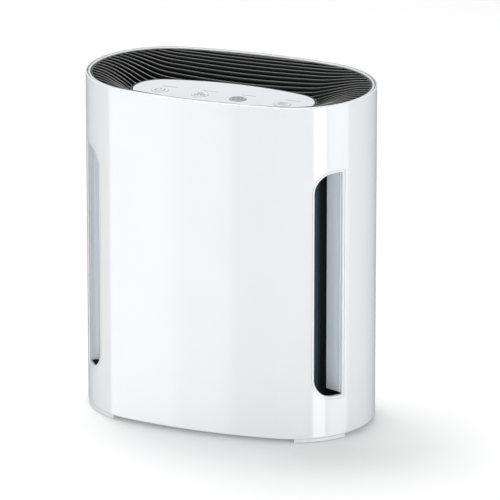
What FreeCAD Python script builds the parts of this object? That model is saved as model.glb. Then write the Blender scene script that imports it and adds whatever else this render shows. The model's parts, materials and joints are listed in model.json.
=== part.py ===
import FreeCAD, Part
import math
import os

# A free-standing room air purifier.  Air enters two tall side slots, passes a filter cassette
# behind the rear cover, goes through a centrifugal fan and leaves by the dished grille on top.
# Millimetres, +Z up, front towards -Y.  The origin is on the floor, under the middle of the body.

os.makedirs("parts", exist_ok=True)

V = FreeCAD.Vector

# ---- driving dimensions -------------------------------------------------------------------
BODY_W = 270.0
BODY_D = 160.0
BODY_H = 315.0
END_R = 75.0            # radius of the two round ends in plan
SLEEVE_Z = 4.0          # the sleeve hangs this far above the floor
WALL = 3.0

# top of the body
LIP = 1.4               # sleeve wall left beside the rim ring
RING_Z = 306.0          # rebate that takes the rim ring
RING_OUT = 2.3
RING_IN = 4.3
RING_TOP = BODY_H - 0.2
GRILLE_OUT = 4.5
GRILLE_Z = 293.5        # underside of the grille
GRILLE_TOP = 314.0
FIN_T = 1.8
FIN_FIRST = -13         # fins are counted from the one just behind the panel, number 0
FIN_LAST = 7
FIN_MID_Y = 21.5        # where fin 0 runs beside the panel, and the pitch of the fins there
FIN_MID_PITCH = 7.15
FIN_END_Y = 32.0        # where fin 0 meets the round ends, and the pitch there
FIN_END_PITCH = 6.6
FIN_BEND_X = (70.0, 130.0)
FIN_REACH = 134.0
GRILLE_FRAME_T = 2.0
DISH_POWER = 1.8        # how steeply the dish drops towards the panel

# control panel
PANEL_W = 172.0
PANEL_D = 72.0
PANEL_R = 28.0
PANEL_Y = -18.0
PANEL_TOP = 303.0
PANEL_T = 2.8
COLLAR_T = 2.0
COLLAR_TOP = 302.7
KEY_X = (-58.5, -20.0, 16.5, 59.0)
KEY_Y = -25.0
KEY_HALF_W = 7.6
KEY_HALF_D = 7.1
KEY_R = 6.0
LENS_SHIFT = 5.0        # the light bar sits behind its key, slightly to the right
LENS_Y = KEY_Y + 13.5
LENS_HALF_L = 6.5
LENS_R = 0.7
POST_SPOTS = [(x, y) for x in (-38.0, 38.0) for y in (-6.0, -36.0)]
BOARD_TOP = 294.0       # the control board, under the panel
BOARD_T = 1.6

# intake slots: end-arc angles of their two long edges, measured back from the X axis
SLOT_FRONT_DEG = 54.2
SLOT_REAR_DEG = 33.0
SLOT_Z0 = 42.0
SLOT_Z1 = 252.0
SLOT_R = 18.0
TRIM_W = 2.6            # a fine groove runs round each slot, its outer edge this far away
TRIM_LINE = 0.7
TRIM_DEPTH = 0.8
VANE_GAP = 1.5          # the light guide vane stops this far above the slot's lower edge
VANE_TOP = SLOT_Z1 + 3.0
VANE_REACH = 16.0       # how far it reaches inwards, and the angle by which it turns rearwards
VANE_TURN_DEG = 20.0
VANE_T = 2.0

# chassis and filter
CHASSIS_X = 95.0
CHASSIS_T = 2.5
CHASSIS_FRONT = -61.0
CHASSIS_REAR = 52.0
CHASSIS_Z0 = 8.0
CHASSIS_Z1 = 270.0
MID_WALL_Y = -10.0
CHAMBER_Z0 = 39.5
CHAMBER_Z1 = 256.5
FILTER_X = 91.5
FILTER_Z0 = 40.0
FILTER_Z1 = 256.0
FILTER_Y0 = -3.0
FILTER_Y1 = 45.0

# rear cover
COVER_X = 93.0
COVER_Z0 = 22.0
COVER_Z1 = 268.0
COVER_R = 8.0
COVER_T = 2.6
COVER_GAP = 0.4
PEG_X = 60.0
PEG_LOW_Z = 30.0
PEG_HIGH_Z = 265.0
PEG_R = 3.0

# fan
FAN_X = -6.0
FAN_Z = 146.0
IMPELLER_R = 56.0
BLADES = 36
SPIRAL_R0 = 62.0
SPIRAL_R1 = 94.0
SPIRAL_START = 50.0
VOLUTE_FRONT = -58.0
VOLUTE_REAR = -12.0
VOLUTE_T = 2.0
INLET_R = 42.0
THROAT_X0 = 27.0        # inside of the outlet's left wall
SHAFT_R = 2.5
SHAFT_CLEARANCE = 0.05
MOTOR_R = 30.0
MOTOR_Y0 = -74.4
MOTOR_Y1 = -62.4
MOTOR_EARS = (30.0, 150.0, 270.0)
MOTOR_EAR_R = 35.0
BEARING_R = 5.5
BEARING_L = 3.5

# base
BASE_Z = 5.0
BASE_T = 3.0
BASE_IN = 3.3
FOOT_Z = 0.8
FOOT_DEG = (30.0, 68.0)
BOSS_X = 87.5
BOSS_Y = 47.0
GLAND_X = 60.0
GLAND_Z = 15.0
GLAND_R = 5.1
GLAND_FLANGE_R = 6.4
GLAND_BORE_R = 3.6
MAIN_X0 = -72.0         # the main board, on the base
MAIN_X1 = 38.0
MAIN_Y0 = -44.0
MAIN_Y1 = 28.0
MAIN_Z = 14.0
STANDOFFS = [(x, y) for x in (MAIN_X0 + 6, MAIN_X1 - 6) for y in (MAIN_Y0 + 6, MAIN_Y1 - 6)]


# ---- shape helpers --------------------------------------------------------------------------
def save(shape, node):
    shape.exportStep("parts/" + node + ".step")
    print(node, round(shape.Volume / 1000.0, 2), "cm3", len(shape.Solids), "solid(s)")


def box(x0, x1, y0, y1, z0, z1):
    return Part.makeBox(x1 - x0, y1 - y0, z1 - z0, V(x0, y0, z0))


def rod_y(x, z, radius, y0, y1):
    return Part.makeCylinder(radius, y1 - y0, V(x, y0, z), V(0, 1, 0))


def rod_z(x, y, radius, z0, z1):
    return Part.makeCylinder(radius, z1 - z0, V(x, y, z0), V(0, 0, 1))


def fuse_all(shapes):
    return shapes[0].multiFuse(shapes[1:]).removeSplitter()


def mirror_x(shape):
    return shape.mirror(V(0, 0, 0), V(1, 0, 0))


def oval_wire(half_w, half_d, end_r, y_mid, z):
    """Four tangent arcs: two round ends and two long, slightly bowed sides."""
    end_x = half_w - end_r
    long_r = (end_x ** 2 + half_d ** 2 - end_r ** 2) / (2.0 * (half_d - end_r))
    reach = long_r - end_r
    join_x = end_x + end_r * end_x / reach
    join_y = end_r * (long_r - half_d) / reach
    right_front = V(join_x, y_mid - join_y, z)
    right_rear = V(join_x, y_mid + join_y, z)
    left_front = V(-join_x, y_mid - join_y, z)
    left_rear = V(-join_x, y_mid + join_y, z)
    arcs = [
        Part.Arc(right_front, V(half_w, y_mid, z), right_rear),
        Part.Arc(right_rear, V(0, y_mid + half_d, z), left_rear),
        Part.Arc(left_rear, V(-half_w, y_mid, z), left_front),
        Part.Arc(left_front, V(0, y_mid - half_d, z), right_front),
    ]
    return Part.Wire([arc.toShape() for arc in arcs])


def oval_prism(half_w, half_d, end_r, y_mid, z0, z1):
    face = Part.Face(oval_wire(half_w, half_d, end_r, y_mid, z0))
    return face.extrude(V(0, 0, z1 - z0))


def body_prism(inset, z0, z1):
    return oval_prism(BODY_W / 2 - inset, BODY_D / 2 - inset, END_R - inset, 0.0, z0, z1)


def body_band(outer_inset, inner_inset, z0, z1):
    inner = body_prism(inner_inset, z0 - 1.0, z1 + 1.0)
    return body_prism(outer_inset, z0, z1).cut(inner)


def panel_prism(grow, z0, z1):
    return oval_prism(PANEL_W / 2 + grow, PANEL_D / 2 + grow, PANEL_R + grow, PANEL_Y, z0, z1)


def end_point(angle_deg, inset):
    """A point on the right-hand end arc, at an angle towards the front from the X axis."""
    angle = math.radians(angle_deg)
    radius = END_R - inset
    end_x = BODY_W / 2 - END_R
    return V(end_x + radius * math.cos(angle), -radius * math.sin(angle), 0)


def end_wedge(deg_a, deg_b, z0, z1):
    """A sector of the right-hand front end, between two angles from the X axis."""
    centre = V(BODY_W / 2 - END_R, 0, z0)
    corners = [centre]
    for angle_deg in (deg_a, (deg_a + deg_b) / 2, deg_b):
        angle = math.radians(angle_deg)
        corners.append(centre + V(math.cos(angle), -math.sin(angle), 0) * END_R * 2)
    return Part.Face(Part.makePolygon(corners + [centre])).extrude(V(0, 0, z1 - z0))


def rounded_block_y(x0, x1, z0, z1, radius, y0, y1):
    """A block along Y whose four long edges are rounded."""
    block = box(x0, x1, y0, y1, z0, z1)
    long_edges = [e for e in block.Edges if abs(e.Length - (y1 - y0)) < 1e-6
                  and abs(e.Vertexes[0].X - e.Vertexes[1].X) < 1e-6
                  and abs(e.Vertexes[0].Z - e.Vertexes[1].Z) < 1e-6]
    return block.makeFillet(radius, long_edges)


def edges_at_z(shape, z):
    return [e for e in shape.Edges if abs(e.BoundBox.ZMin - z) < 1e-4
            and abs(e.BoundBox.ZMax - z) < 1e-4]


def four_corners(shape):
    """The right front shape and its three mirror images."""
    rear = shape.mirror(V(0, 0, 0), V(0, 1, 0))
    return [shape, rear, mirror_x(shape), mirror_x(rear)]


def screw(tip, axis, length, shank_r, head_r, head_h):
    """A pan-head screw: tip is the shank's end and axis points from the tip to the head."""
    shank = Part.makeCylinder(shank_r, length, V(0, 0, 0), V(0, 0, 1))
    head = Part.makeCylinder(head_r, head_h, V(0, 0, length), V(0, 0, 1))
    head = head.makeFillet(head_h * 0.45, edges_at_z(head, length + head_h))
    slot_w = head_r * 0.28
    slot_z = length + head_h * 0.45
    recess = box(-head_r * 0.6, head_r * 0.6, -slot_w, slot_w, slot_z, slot_z + head_h)
    cross = recess.fuse(box(-slot_w, slot_w, -head_r * 0.6, head_r * 0.6, slot_z, slot_z + head_h))
    shape = shank.fuse(head).cut(cross)
    shape.Placement = FreeCAD.Placement(tip, FreeCAD.Rotation(V(0, 0, 1), axis))
    return shape


# ---- outer shell ----------------------------------------------------------------------------
def slot_cutter(grow):
    """The right-hand intake slot, grown on all sides: front corners round, rear corners square."""
    front = end_point(SLOT_FRONT_DEG, 0.0)
    rear = end_point(SLOT_REAR_DEG, 0.0)
    width = (rear - front).Length + 2 * grow
    along = (rear - front).normalize()
    outward = V(along.y, -along.x, 0)
    start = front - outward * 20.0 - along * grow
    z0 = SLOT_Z0 - grow
    z1 = SLOT_Z1 + grow
    radius = SLOT_R + grow

    def at(s, z):
        return start + along * s + V(0, 0, z)

    bend = radius * (1 - math.sqrt(0.5))
    edges = [
        Part.LineSegment(at(width, z0), at(width, z1)),
        Part.LineSegment(at(width, z1), at(radius, z1)),
        Part.Arc(at(radius, z1), at(bend, z1 - bend), at(0, z1 - radius)),
        Part.LineSegment(at(0, z1 - radius), at(0, z0 + radius)),
        Part.Arc(at(0, z0 + radius), at(bend, z0 + bend), at(radius, z0)),
        Part.LineSegment(at(radius, z0), at(width, z0)),
    ]
    wire = Part.Wire([edge.toShape() for edge in edges])
    return Part.Face(wire).extrude(outward * 32.0)


def on_slot_rim(edge):
    """True for an edge that runs round a slot on the outside of the sleeve."""
    for t in (0.1, 0.5, 0.9):
        span = edge.LastParameter - edge.FirstParameter
        point = edge.valueAt(edge.FirstParameter + t * span)
        across = abs(point.x) - (BODY_W / 2 - END_R)
        angle_deg = math.degrees(math.atan2(-point.y, across))
        if abs(math.hypot(across, point.y) - END_R) > 0.01:
            return False
        if not SLOT_REAR_DEG - 0.5 < angle_deg < SLOT_FRONT_DEG + 0.5:
            return False
        if not SLOT_Z0 - 0.5 < point.z < SLOT_Z1 + 0.5:
            return False
    return True


def outer_sleeve():
    sleeve = body_prism(0.0, SLEEVE_Z, BODY_H)
    sleeve = sleeve.makeFillet(1.0, edges_at_z(sleeve, BODY_H) + edges_at_z(sleeve, SLEEVE_Z))
    sleeve = sleeve.cut(body_prism(WALL, SLEEVE_Z - 1, BODY_H + 1))
    sleeve = sleeve.cut(body_prism(LIP, RING_Z, BODY_H + 1))
    border = slot_cutter(TRIM_W).cut(slot_cutter(TRIM_W - TRIM_LINE))
    groove = body_band(-1.0, TRIM_DEPTH, SLEEVE_Z, RING_Z).common(border)
    for hole in (groove, slot_cutter(0.0)):
        sleeve = sleeve.cut(hole).cut(mirror_x(hole))
    sleeve = sleeve.makeFillet(0.7, [e for e in sleeve.Edges if on_slot_rim(e)])
    door = rounded_block_y(-COVER_X, COVER_X, COVER_Z0, COVER_Z1, COVER_R, 30, 90)
    gland_hole = rod_y(GLAND_X, GLAND_Z, GLAND_R + 0.1, 50, 90)
    return sleeve.cut(door).cut(gland_hole)


def rim_ring():
    ring = body_band(RING_OUT, RING_IN, RING_Z, RING_TOP)
    ring = ring.makeFillet(0.5, edges_at_z(ring, RING_TOP))
    skirt = body_band(WALL + 0.2, RING_IN, GRILLE_Z - 2, RING_Z + 1)
    ledge = body_band(WALL + 0.2, 8.0, GRILLE_Z - 2, GRILLE_Z)
    return fuse_all([ring, skirt, ledge])


def intake_liner():
    """A light guide vane and its top plate, glued inside the right-hand slot."""
    z0 = SLOT_Z0 + VANE_GAP
    z1 = VANE_TOP
    edge = end_point(SLOT_REAR_DEG, WALL + 0.2)
    turn = math.radians(VANE_TURN_DEG)
    inward = V(-math.cos(turn), math.sin(turn), 0)
    across = V(math.sin(turn), math.cos(turn), 0)
    tip = edge + inward * VANE_REACH
    plan = [edge, tip, tip + across * VANE_T, edge + across * VANE_T, edge]
    vane = Part.Face(Part.makePolygon([p + V(0, 0, z0) for p in plan])).extrude(V(0, 0, z1 - z0))
    flange = body_band(WALL + 0.2, WALL + 0.2 + VANE_T, z0, z1)
    flange = flange.common(end_wedge(SLOT_REAR_DEG - 8.0, SLOT_REAR_DEG + 0.5, z0, z1))
    front = end_point(SLOT_FRONT_DEG + 2.0, WALL + 0.2)
    deep = V(CHASSIS_X + 2.0, front.y + 9.0, 0)
    outline = [edge, tip, deep, front, edge + V(6, -6, 0), edge]
    under = z1 - VANE_T
    plate = Part.Face(Part.makePolygon([p + V(0, 0, under) for p in outline]))
    plate = plate.extrude(V(0, 0, VANE_T)).common(body_prism(WALL + 0.2, under, z1))
    return fuse_all([vane, flange, plate])


# ---- top grille and controls ----------------------------------------------------------------
def smoothstep(value, low, high):
    t = min(1.0, max(0.0, (value - low) / (high - low)))
    return t * t * (3.0 - 2.0 * t)


def fin_y(index, x):
    """Fins run straight behind the panel and spread towards the rear at the round ends."""
    y_mid = FIN_MID_Y + FIN_MID_PITCH * index
    y_end = FIN_END_Y + FIN_END_PITCH * index
    return y_mid + (y_end - y_mid) * smoothstep(abs(x), FIN_BEND_X[0], FIN_BEND_X[1])


def fin(index):
    stations = 17
    xs = [FIN_REACH * (2.0 * i / (stations - 1) - 1.0) for i in range(stations)]

    def line(offset):
        points = [V(x, fin_y(index, x) + offset, GRILLE_Z) for x in xs]
        curve = Part.BSplineCurve()
        curve.interpolate(points)
        return curve.toShape(), points

    front, front_points = line(-FIN_T / 2)
    rear, rear_points = line(FIN_T / 2)
    left = Part.LineSegment(front_points[0], rear_points[0]).toShape()
    right = Part.LineSegment(front_points[-1], rear_points[-1]).toShape()
    wire = Part.Wire([front, right, rear, left])
    return Part.Face(wire).extrude(V(0, 0, GRILLE_TOP - GRILLE_Z))


def dish():
    """The space above the dished grille, from its rim down to the panel's collar."""
    inset = GRILLE_OUT + 0.8
    rim = (BODY_W / 2 - inset, BODY_D / 2 - inset, END_R - inset, 0.0)
    foot = (PANEL_W / 2 + COLLAR_T, PANEL_D / 2 + COLLAR_T, PANEL_R + COLLAR_T, PANEL_Y)
    wires = []
    for t in (0.0, 0.2, 0.4, 0.6, 0.8, 1.0):
        half_w, half_d, end_r, y_mid = [a + (b - a) * t for a, b in zip(rim, foot)]
        z = GRILLE_TOP + 0.01 - (GRILLE_TOP - COLLAR_TOP) * t ** DISH_POWER
        wires.append(oval_wire(half_w, half_d, end_r, y_mid, z))
    return Part.makeLoft(wires, True, False)


def top_grille():
    inner = body_prism(GRILLE_OUT + 1.0, GRILLE_Z, GRILLE_TOP)
    fins = [fin(i) for i in range(FIN_FIRST, FIN_LAST + 1)]
    ribs = [box(x - 1.0, x + 1.0, -90, 90, GRILLE_Z, GRILLE_Z + 3.5) for x in (-105, -35, 35, 105)]
    well = panel_prism(COLLAR_T / 2, GRILLE_Z - 1, BODY_H)
    bars = [piece.common(inner).cut(well) for piece in fins + ribs]
    frame = body_band(GRILLE_OUT, GRILLE_OUT + GRILLE_FRAME_T, GRILLE_Z, GRILLE_TOP)
    collar = panel_prism(COLLAR_T, GRILLE_Z, COLLAR_TOP).cut(panel_prism(0.0, GRILLE_Z - 1, BODY_H))
    ledge = panel_prism(0.5, GRILLE_Z, GRILLE_Z + 2.5).cut(panel_prism(-4.5, GRILLE_Z - 1, BODY_H))
    grille = fuse_all([frame, collar, ledge] + bars)
    return grille.cut(dish())


def key_oval(grow, x, z0, z1):
    prism = oval_prism(KEY_HALF_W + grow, KEY_HALF_D + grow, KEY_R + grow, KEY_Y, z0, z1)
    prism.translate(V(x, 0, 0))
    return prism


def light_bar(x, grow, z0, z1):
    """A slim bar with round ends, behind the key at x."""
    centre = x + LENS_SHIFT
    radius = LENS_R + grow
    bar = box(centre - LENS_HALF_L, centre + LENS_HALF_L, LENS_Y - radius, LENS_Y + radius, z0, z1)
    ends = [rod_z(centre + side * LENS_HALF_L, LENS_Y, radius, z0, z1) for side in (-1, 1)]
    return fuse_all([bar] + ends)


def control_panel():
    panel = panel_prism(-0.4, GRILLE_Z + 2.5, PANEL_TOP)
    panel = panel.makeFillet(0.8, edges_at_z(panel, PANEL_TOP))
    panel = panel.cut(panel_prism(-2.4, GRILLE_Z, PANEL_TOP - PANEL_T))
    posts = [rod_z(x, y, 3.0, BOARD_TOP, PANEL_TOP - PANEL_T / 2) for x, y in POST_SPOTS]
    panel = fuse_all([panel] + posts)
    for x, y in POST_SPOTS:
        panel = panel.cut(rod_z(x, y, 1.3, BOARD_TOP - 1, BOARD_TOP + 4.5))
    for x in KEY_X:
        panel = panel.cut(key_oval(0.35, x, GRILLE_Z, BODY_H))
        panel = panel.cut(light_bar(x, 0.02, GRILLE_Z, BODY_H))
    return panel


def key_cap(x):
    """A sprung key: a domed cap, a flange that keeps it in the panel and a short stem."""
    top = PANEL_TOP + 0.6
    under = PANEL_TOP - PANEL_T
    cap = key_oval(0.0, x, under - 1.2, top)
    cap = cap.makeFillet(0.5, edges_at_z(cap, top))
    flange = key_oval(1.5, x, under - 1.2, under - 0.2)
    stem = rod_z(x, KEY_Y, 2.2, under - 1.9, under - 0.5)
    return fuse_all([cap, flange, stem])


def indicator_lenses():
    return Part.makeCompound([light_bar(x, 0.0, PANEL_TOP - 4.0, PANEL_TOP - 0.05) for x in KEY_X])


def control_board():
    board = box(-70, 70, -38, 1, BOARD_TOP - BOARD_T, BOARD_TOP)
    corners = [e for e in board.Edges if abs(e.Length - BOARD_T) < 1e-6]
    board = board.makeFillet(6.0, corners)
    for x, y in POST_SPOTS:
        board = board.cut(rod_z(x, y, 1.6, BOARD_TOP - 3, BOARD_TOP + 1))
    return board


def tact_switches():
    """One push switch under each key: its button stops just short of the key's stem."""
    switches = []
    for x in KEY_X:
        case = box(x - 3, x + 3, KEY_Y - 3, KEY_Y + 3, BOARD_TOP, BOARD_TOP + 2.4)
        switches.append(case.fuse(rod_z(x, KEY_Y, 1.7, BOARD_TOP + 2.0, BOARD_TOP + 3.3)))
    return Part.makeCompound(switches)


def board_tray():
    tray = panel_prism(-1.0, GRILLE_Z - 7.5, GRILLE_Z)
    return tray.cut(panel_prism(-2.6, GRILLE_Z - 5.9, GRILLE_Z + 1))


def panel_screws():
    tips = [V(x, y, BOARD_TOP + 4.0) for x, y in POST_SPOTS]
    return Part.makeCompound([screw(tip, V(0, 0, -1), 5.6, 1.25, 2.6, 1.6) for tip in tips])


def outlet_duct():
    """A pan under the grille: its floor has the fan's outlet and its wall follows the body."""
    floor = body_prism(6.0, CHASSIS_Z1, CHASSIS_Z1 + 2.0)
    wall = body_band(6.0, 8.0, CHASSIS_Z1, GRILLE_Z - 2.0)
    throat = box(THROAT_X0 + 0.5, SPIRAL_R1 + FAN_X - 0.5, VOLUTE_FRONT + 2.5, VOLUTE_REAR - 0.5, 260, 280)
    return fuse_all([floor, wall]).cut(throat)


# ---- fan ------------------------------------------------------------------------------------
def spiral_point(angle_deg, extra, y):
    grow = (angle_deg - SPIRAL_START) / (360.0 - SPIRAL_START)
    radius = SPIRAL_R0 + (SPIRAL_R1 - SPIRAL_R0) * grow + extra
    angle = math.radians(angle_deg)
    return V(FAN_X + radius * math.cos(angle), y, FAN_Z + radius * math.sin(angle))


def spiral_curve(extra, y):
    steps = 12
    angles = [SPIRAL_START + (360.0 - SPIRAL_START) * i / steps for i in range(steps + 1)]
    curve = Part.BSplineCurve()
    curve.interpolate([spiral_point(angle, extra, y) for angle in angles])
    return curve.toShape()


def volute_plate(y0, y1):
    """A flat plate with the outer outline of the spiral casing and its upward outlet."""
    outer = spiral_curve(VOLUTE_T, y0)
    start = spiral_point(SPIRAL_START, VOLUTE_T, y0)
    end = spiral_point(360.0, VOLUTE_T, y0)
    top_right = V(end.x, y0, CHASSIS_Z1)
    top_left = V(THROAT_X0 - VOLUTE_T, y0, CHASSIS_Z1)
    sides = [(end, top_right), (top_right, top_left), (top_left, start)]
    wire = Part.Wire([outer] + [Part.LineSegment(a, b).toShape() for a, b in sides])
    return Part.Face(wire).extrude(V(0, y1 - y0, 0))


EAR_SPOTS = [(spiral_point(a, 6.0, 0).x, spiral_point(a, 6.0, 0).z) for a in (90, 150, 210, 270, 315)]
EAR_SPOTS.append((THROAT_X0 - 2.6, 240.0))


def motor_ear_spot(angle_deg):
    angle = math.radians(angle_deg)
    return FAN_X + MOTOR_EAR_R * math.cos(angle), FAN_Z + MOTOR_EAR_R * math.sin(angle)


def volute_housing():
    y0 = VOLUTE_FRONT
    y1 = VOLUTE_REAR
    inner = spiral_curve(0.0, y0)
    outer = spiral_curve(VOLUTE_T, y0)
    cap_a = Part.LineSegment(spiral_point(SPIRAL_START, 0, y0), spiral_point(SPIRAL_START, VOLUTE_T, y0))
    cap_b = Part.LineSegment(spiral_point(360.0, 0, y0), spiral_point(360.0, VOLUTE_T, y0))
    ring = Part.Face(Part.Wire([inner, cap_b.toShape(), outer, cap_a.toShape()]))
    scroll = ring.extrude(V(0, y1 - y0, 0))
    right_x = FAN_X + SPIRAL_R1
    right = box(right_x, right_x + VOLUTE_T, y0, y1, FAN_Z, CHASSIS_Z1)
    tongue = spiral_point(SPIRAL_START, VOLUTE_T / 2, y0)
    inside = [V(THROAT_X0, y0, CHASSIS_Z1), V(THROAT_X0 - VOLUTE_T, y0, CHASSIS_Z1),
              V(tongue.x - VOLUTE_T, y0, tongue.z), V(tongue.x, y0, tongue.z)]
    left = Part.Face(Part.makePolygon(inside + [inside[0]])).extrude(V(0, y1 - y0, 0))
    nose = rod_y(tongue.x - 0.9, tongue.z, 2.0, y0, y1)
    front = volute_plate(y0, y0 + VOLUTE_T)
    ears = [rod_y(x, z, 5.0, y1 - 3.0, y1) for x, z in EAR_SPOTS]
    bosses = []
    for angle_deg in MOTOR_EARS:
        x, z = motor_ear_spot(angle_deg)
        bosses.append(rod_y(x, z, 4.0, y0, y0 + 3.8))
    housing = fuse_all([scroll, right, left, nose, front] + ears + bosses)
    housing = housing.cut(rod_y(FAN_X, FAN_Z, 12.0, y0 - 1, y0 + 5))
    for x, z in EAR_SPOTS:
        housing = housing.cut(rod_y(x, z, 1.9, y1 - 5, y1 + 1))
    for angle_deg in MOTOR_EARS:
        x, z = motor_ear_spot(angle_deg)
        housing = housing.cut(rod_y(x, z, 1.5, y0 - 1, y0 + 3.0))
    return housing


def volute_cover():
    """The casing's rear plate with the fan's bell mouth."""
    y0 = VOLUTE_REAR
    plate = volute_plate(y0, y0 + 2.0)
    ears = [rod_y(x, z, 5.0, y0, y0 + 2.0) for x, z in EAR_SPOTS]
    mouth = rod_y(FAN_X, FAN_Z, INLET_R + 1.8, y0 - 7.0, y0 + 1.0)
    cover = fuse_all([plate, mouth] + ears)
    cover = cover.cut(rod_y(FAN_X, FAN_Z, INLET_R, y0 - 9, y0 + 3))
    for x, z in EAR_SPOTS:
        cover = cover.cut(rod_y(x, z, 1.9, y0 - 1, y0 + 3))
    return cover


def volute_screws():
    tips = [V(x, MID_WALL_Y + 2.0, z) for x, z in EAR_SPOTS]
    return Part.makeCompound([screw(tip, V(0, -1, 0), 7.0, 1.8, 3.2, 2.0) for tip in tips])


def impeller_blade():
    """One forward-curved blade between the back disc and the inlet ring."""
    root_r = 45.0
    tip_r = IMPELLER_R
    lead = math.radians(8.0)
    thick = 1.2

    def at(radius, angle):
        return V(FAN_X + radius * math.cos(angle), -51.0, FAN_Z + radius * math.sin(angle))

    inner = thick / root_r
    outer = thick / tip_r
    middle = (root_r + tip_r) / 2
    low = Part.Arc(at(root_r, 0.0), at(middle, lead * 0.25), at(tip_r, lead))
    high = Part.Arc(at(root_r, inner), at(middle, lead * 0.25 + inner), at(tip_r, lead + outer))
    cap_a = Part.LineSegment(at(root_r, 0.0), at(root_r, inner))
    cap_b = Part.LineSegment(at(tip_r, lead), at(tip_r, lead + outer))
    wire = Part.Wire([low.toShape(), cap_b.toShape(), high.toShape(), cap_a.toShape()])
    return Part.Face(wire).extrude(V(0, 32.0, 0))


def impeller():
    disc = rod_y(FAN_X, FAN_Z, IMPELLER_R, -52.0, -50.0)
    hub = rod_y(FAN_X, FAN_Z, 9.0, -52.0, -26.0)
    ring = rod_y(FAN_X, FAN_Z, IMPELLER_R + 1.2, -21.0, -18.8)
    ring = ring.cut(rod_y(FAN_X, FAN_Z, INLET_R + 5.0, -22.0, -18.0))
    blade = impeller_blade()
    blades = []
    for i in range(BLADES):
        copy = blade.copy()
        copy.rotate(V(FAN_X, 0, FAN_Z), V(0, 1, 0), i * 360.0 / BLADES)
        blades.append(copy)
    wheel = fuse_all([disc, hub, ring] + blades)
    return wheel.cut(rod_y(FAN_X, FAN_Z, SHAFT_R, -53.0, -20.0))


def hex_nut(y0, y1):
    corners = []
    for i in range(7):
        angle = math.radians(60.0 * i)
        corners.append(V(FAN_X + 4.6 * math.cos(angle), y0, FAN_Z + 4.6 * math.sin(angle)))
    nut = Part.Face(Part.makePolygon(corners)).extrude(V(0, y1 - y0, 0))
    return nut.cut(rod_y(FAN_X, FAN_Z, SHAFT_R, y0 - 1, y1 + 1))


def ring_y(radius_out, radius_in, y0, y1):
    return rod_y(FAN_X, FAN_Z, radius_out, y0, y1).cut(rod_y(FAN_X, FAN_Z, radius_in, y0 - 1, y1 + 1))


def motor_can():
    shell = ring_y(MOTOR_R, MOTOR_R - 1.4, MOTOR_Y0, MOTOR_Y1)
    front = rod_y(FAN_X, FAN_Z, MOTOR_R, MOTOR_Y0, MOTOR_Y0 + 1.4)
    seat = ring_y(BEARING_R + 2.0, BEARING_R, MOTOR_Y0 + 1.0, MOTOR_Y0 + 1.4 + BEARING_L)
    return fuse_all([shell, front, seat])


def motor_bracket():
    """The motor's rear plate: it carries a bearing and has three ears for the mounts."""
    plate = rod_y(FAN_X, FAN_Z, MOTOR_R, MOTOR_Y1, MOTOR_Y1 + 1.5)
    seat = rod_y(FAN_X, FAN_Z, BEARING_R + 2.0, MOTOR_Y1, MOTOR_Y1 + BEARING_L)
    pieces = [plate, seat]
    for angle_deg in MOTOR_EARS:
        x, z = motor_ear_spot(angle_deg)
        pieces.append(rod_y(x, z, 6.0, MOTOR_Y1, MOTOR_Y1 + 1.5))
    bracket = fuse_all(pieces)
    bracket = bracket.cut(rod_y(FAN_X, FAN_Z, BEARING_R, MOTOR_Y1 - 1, MOTOR_Y1 + 9))
    for angle_deg in MOTOR_EARS:
        x, z = motor_ear_spot(angle_deg)
        bracket = bracket.cut(rod_y(x, z, 3.4, MOTOR_Y1 - 1, MOTOR_Y1 + 9))
    return bracket


def motor_grommets():
    """Soft mounts: a waist in each ear, a collar in front and a foot on the casing."""
    mounts = []
    for angle_deg in MOTOR_EARS:
        x, z = motor_ear_spot(angle_deg)
        waist = rod_y(x, z, 3.4, MOTOR_Y1 - 1.0, VOLUTE_FRONT)
        collar = rod_y(x, z, 5.0, MOTOR_Y1 - 1.6, MOTOR_Y1)
        foot = rod_y(x, z, 5.0, MOTOR_Y1 + 1.5, VOLUTE_FRONT)
        bore = rod_y(x, z, 1.6, MOTOR_Y1 - 5, VOLUTE_FRONT + 1)
        mounts.append(fuse_all([waist, collar, foot]).cut(bore))
    return Part.makeCompound(mounts)


def motor_screws():
    tips = []
    for angle_deg in MOTOR_EARS:
        x, z = motor_ear_spot(angle_deg)
        tips.append(V(x, VOLUTE_FRONT + 2.8, z))
    length = VOLUTE_FRONT + 2.8 - (MOTOR_Y1 - 1.6)
    return Part.makeCompound([screw(tip, V(0, -1, 0), length, 1.45, 3.2, 1.8) for tip in tips])


def motor_stator():
    stator = ring_y(MOTOR_R - 1.6, 15.0, MOTOR_Y0 + 5.2, MOTOR_Y1 - 0.4)
    for i in range(9):
        gap = box(FAN_X + 15.5, FAN_X + 24.5, MOTOR_Y0, MOTOR_Y1, FAN_Z - 1.6, FAN_Z + 1.6)
        gap.rotate(V(FAN_X, 0, FAN_Z), V(0, 1, 0), i * 40.0)
        stator = stator.cut(gap)
    return stator


def motor_rotor():
    return ring_y(14.4, SHAFT_R, MOTOR_Y0 + 5.6, MOTOR_Y1 - 0.6)


def motor_shaft():
    return rod_y(FAN_X, FAN_Z, SHAFT_R, MOTOR_Y0 + 1.6, -20.5)


def motor_bearings():
    inner = SHAFT_R + SHAFT_CLEARANCE
    front = ring_y(BEARING_R, inner, MOTOR_Y0 + 1.4, MOTOR_Y0 + 1.4 + BEARING_L)
    rear = ring_y(BEARING_R, inner, MOTOR_Y1, MOTOR_Y1 + BEARING_L)
    return Part.makeCompound([front, rear])


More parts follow.
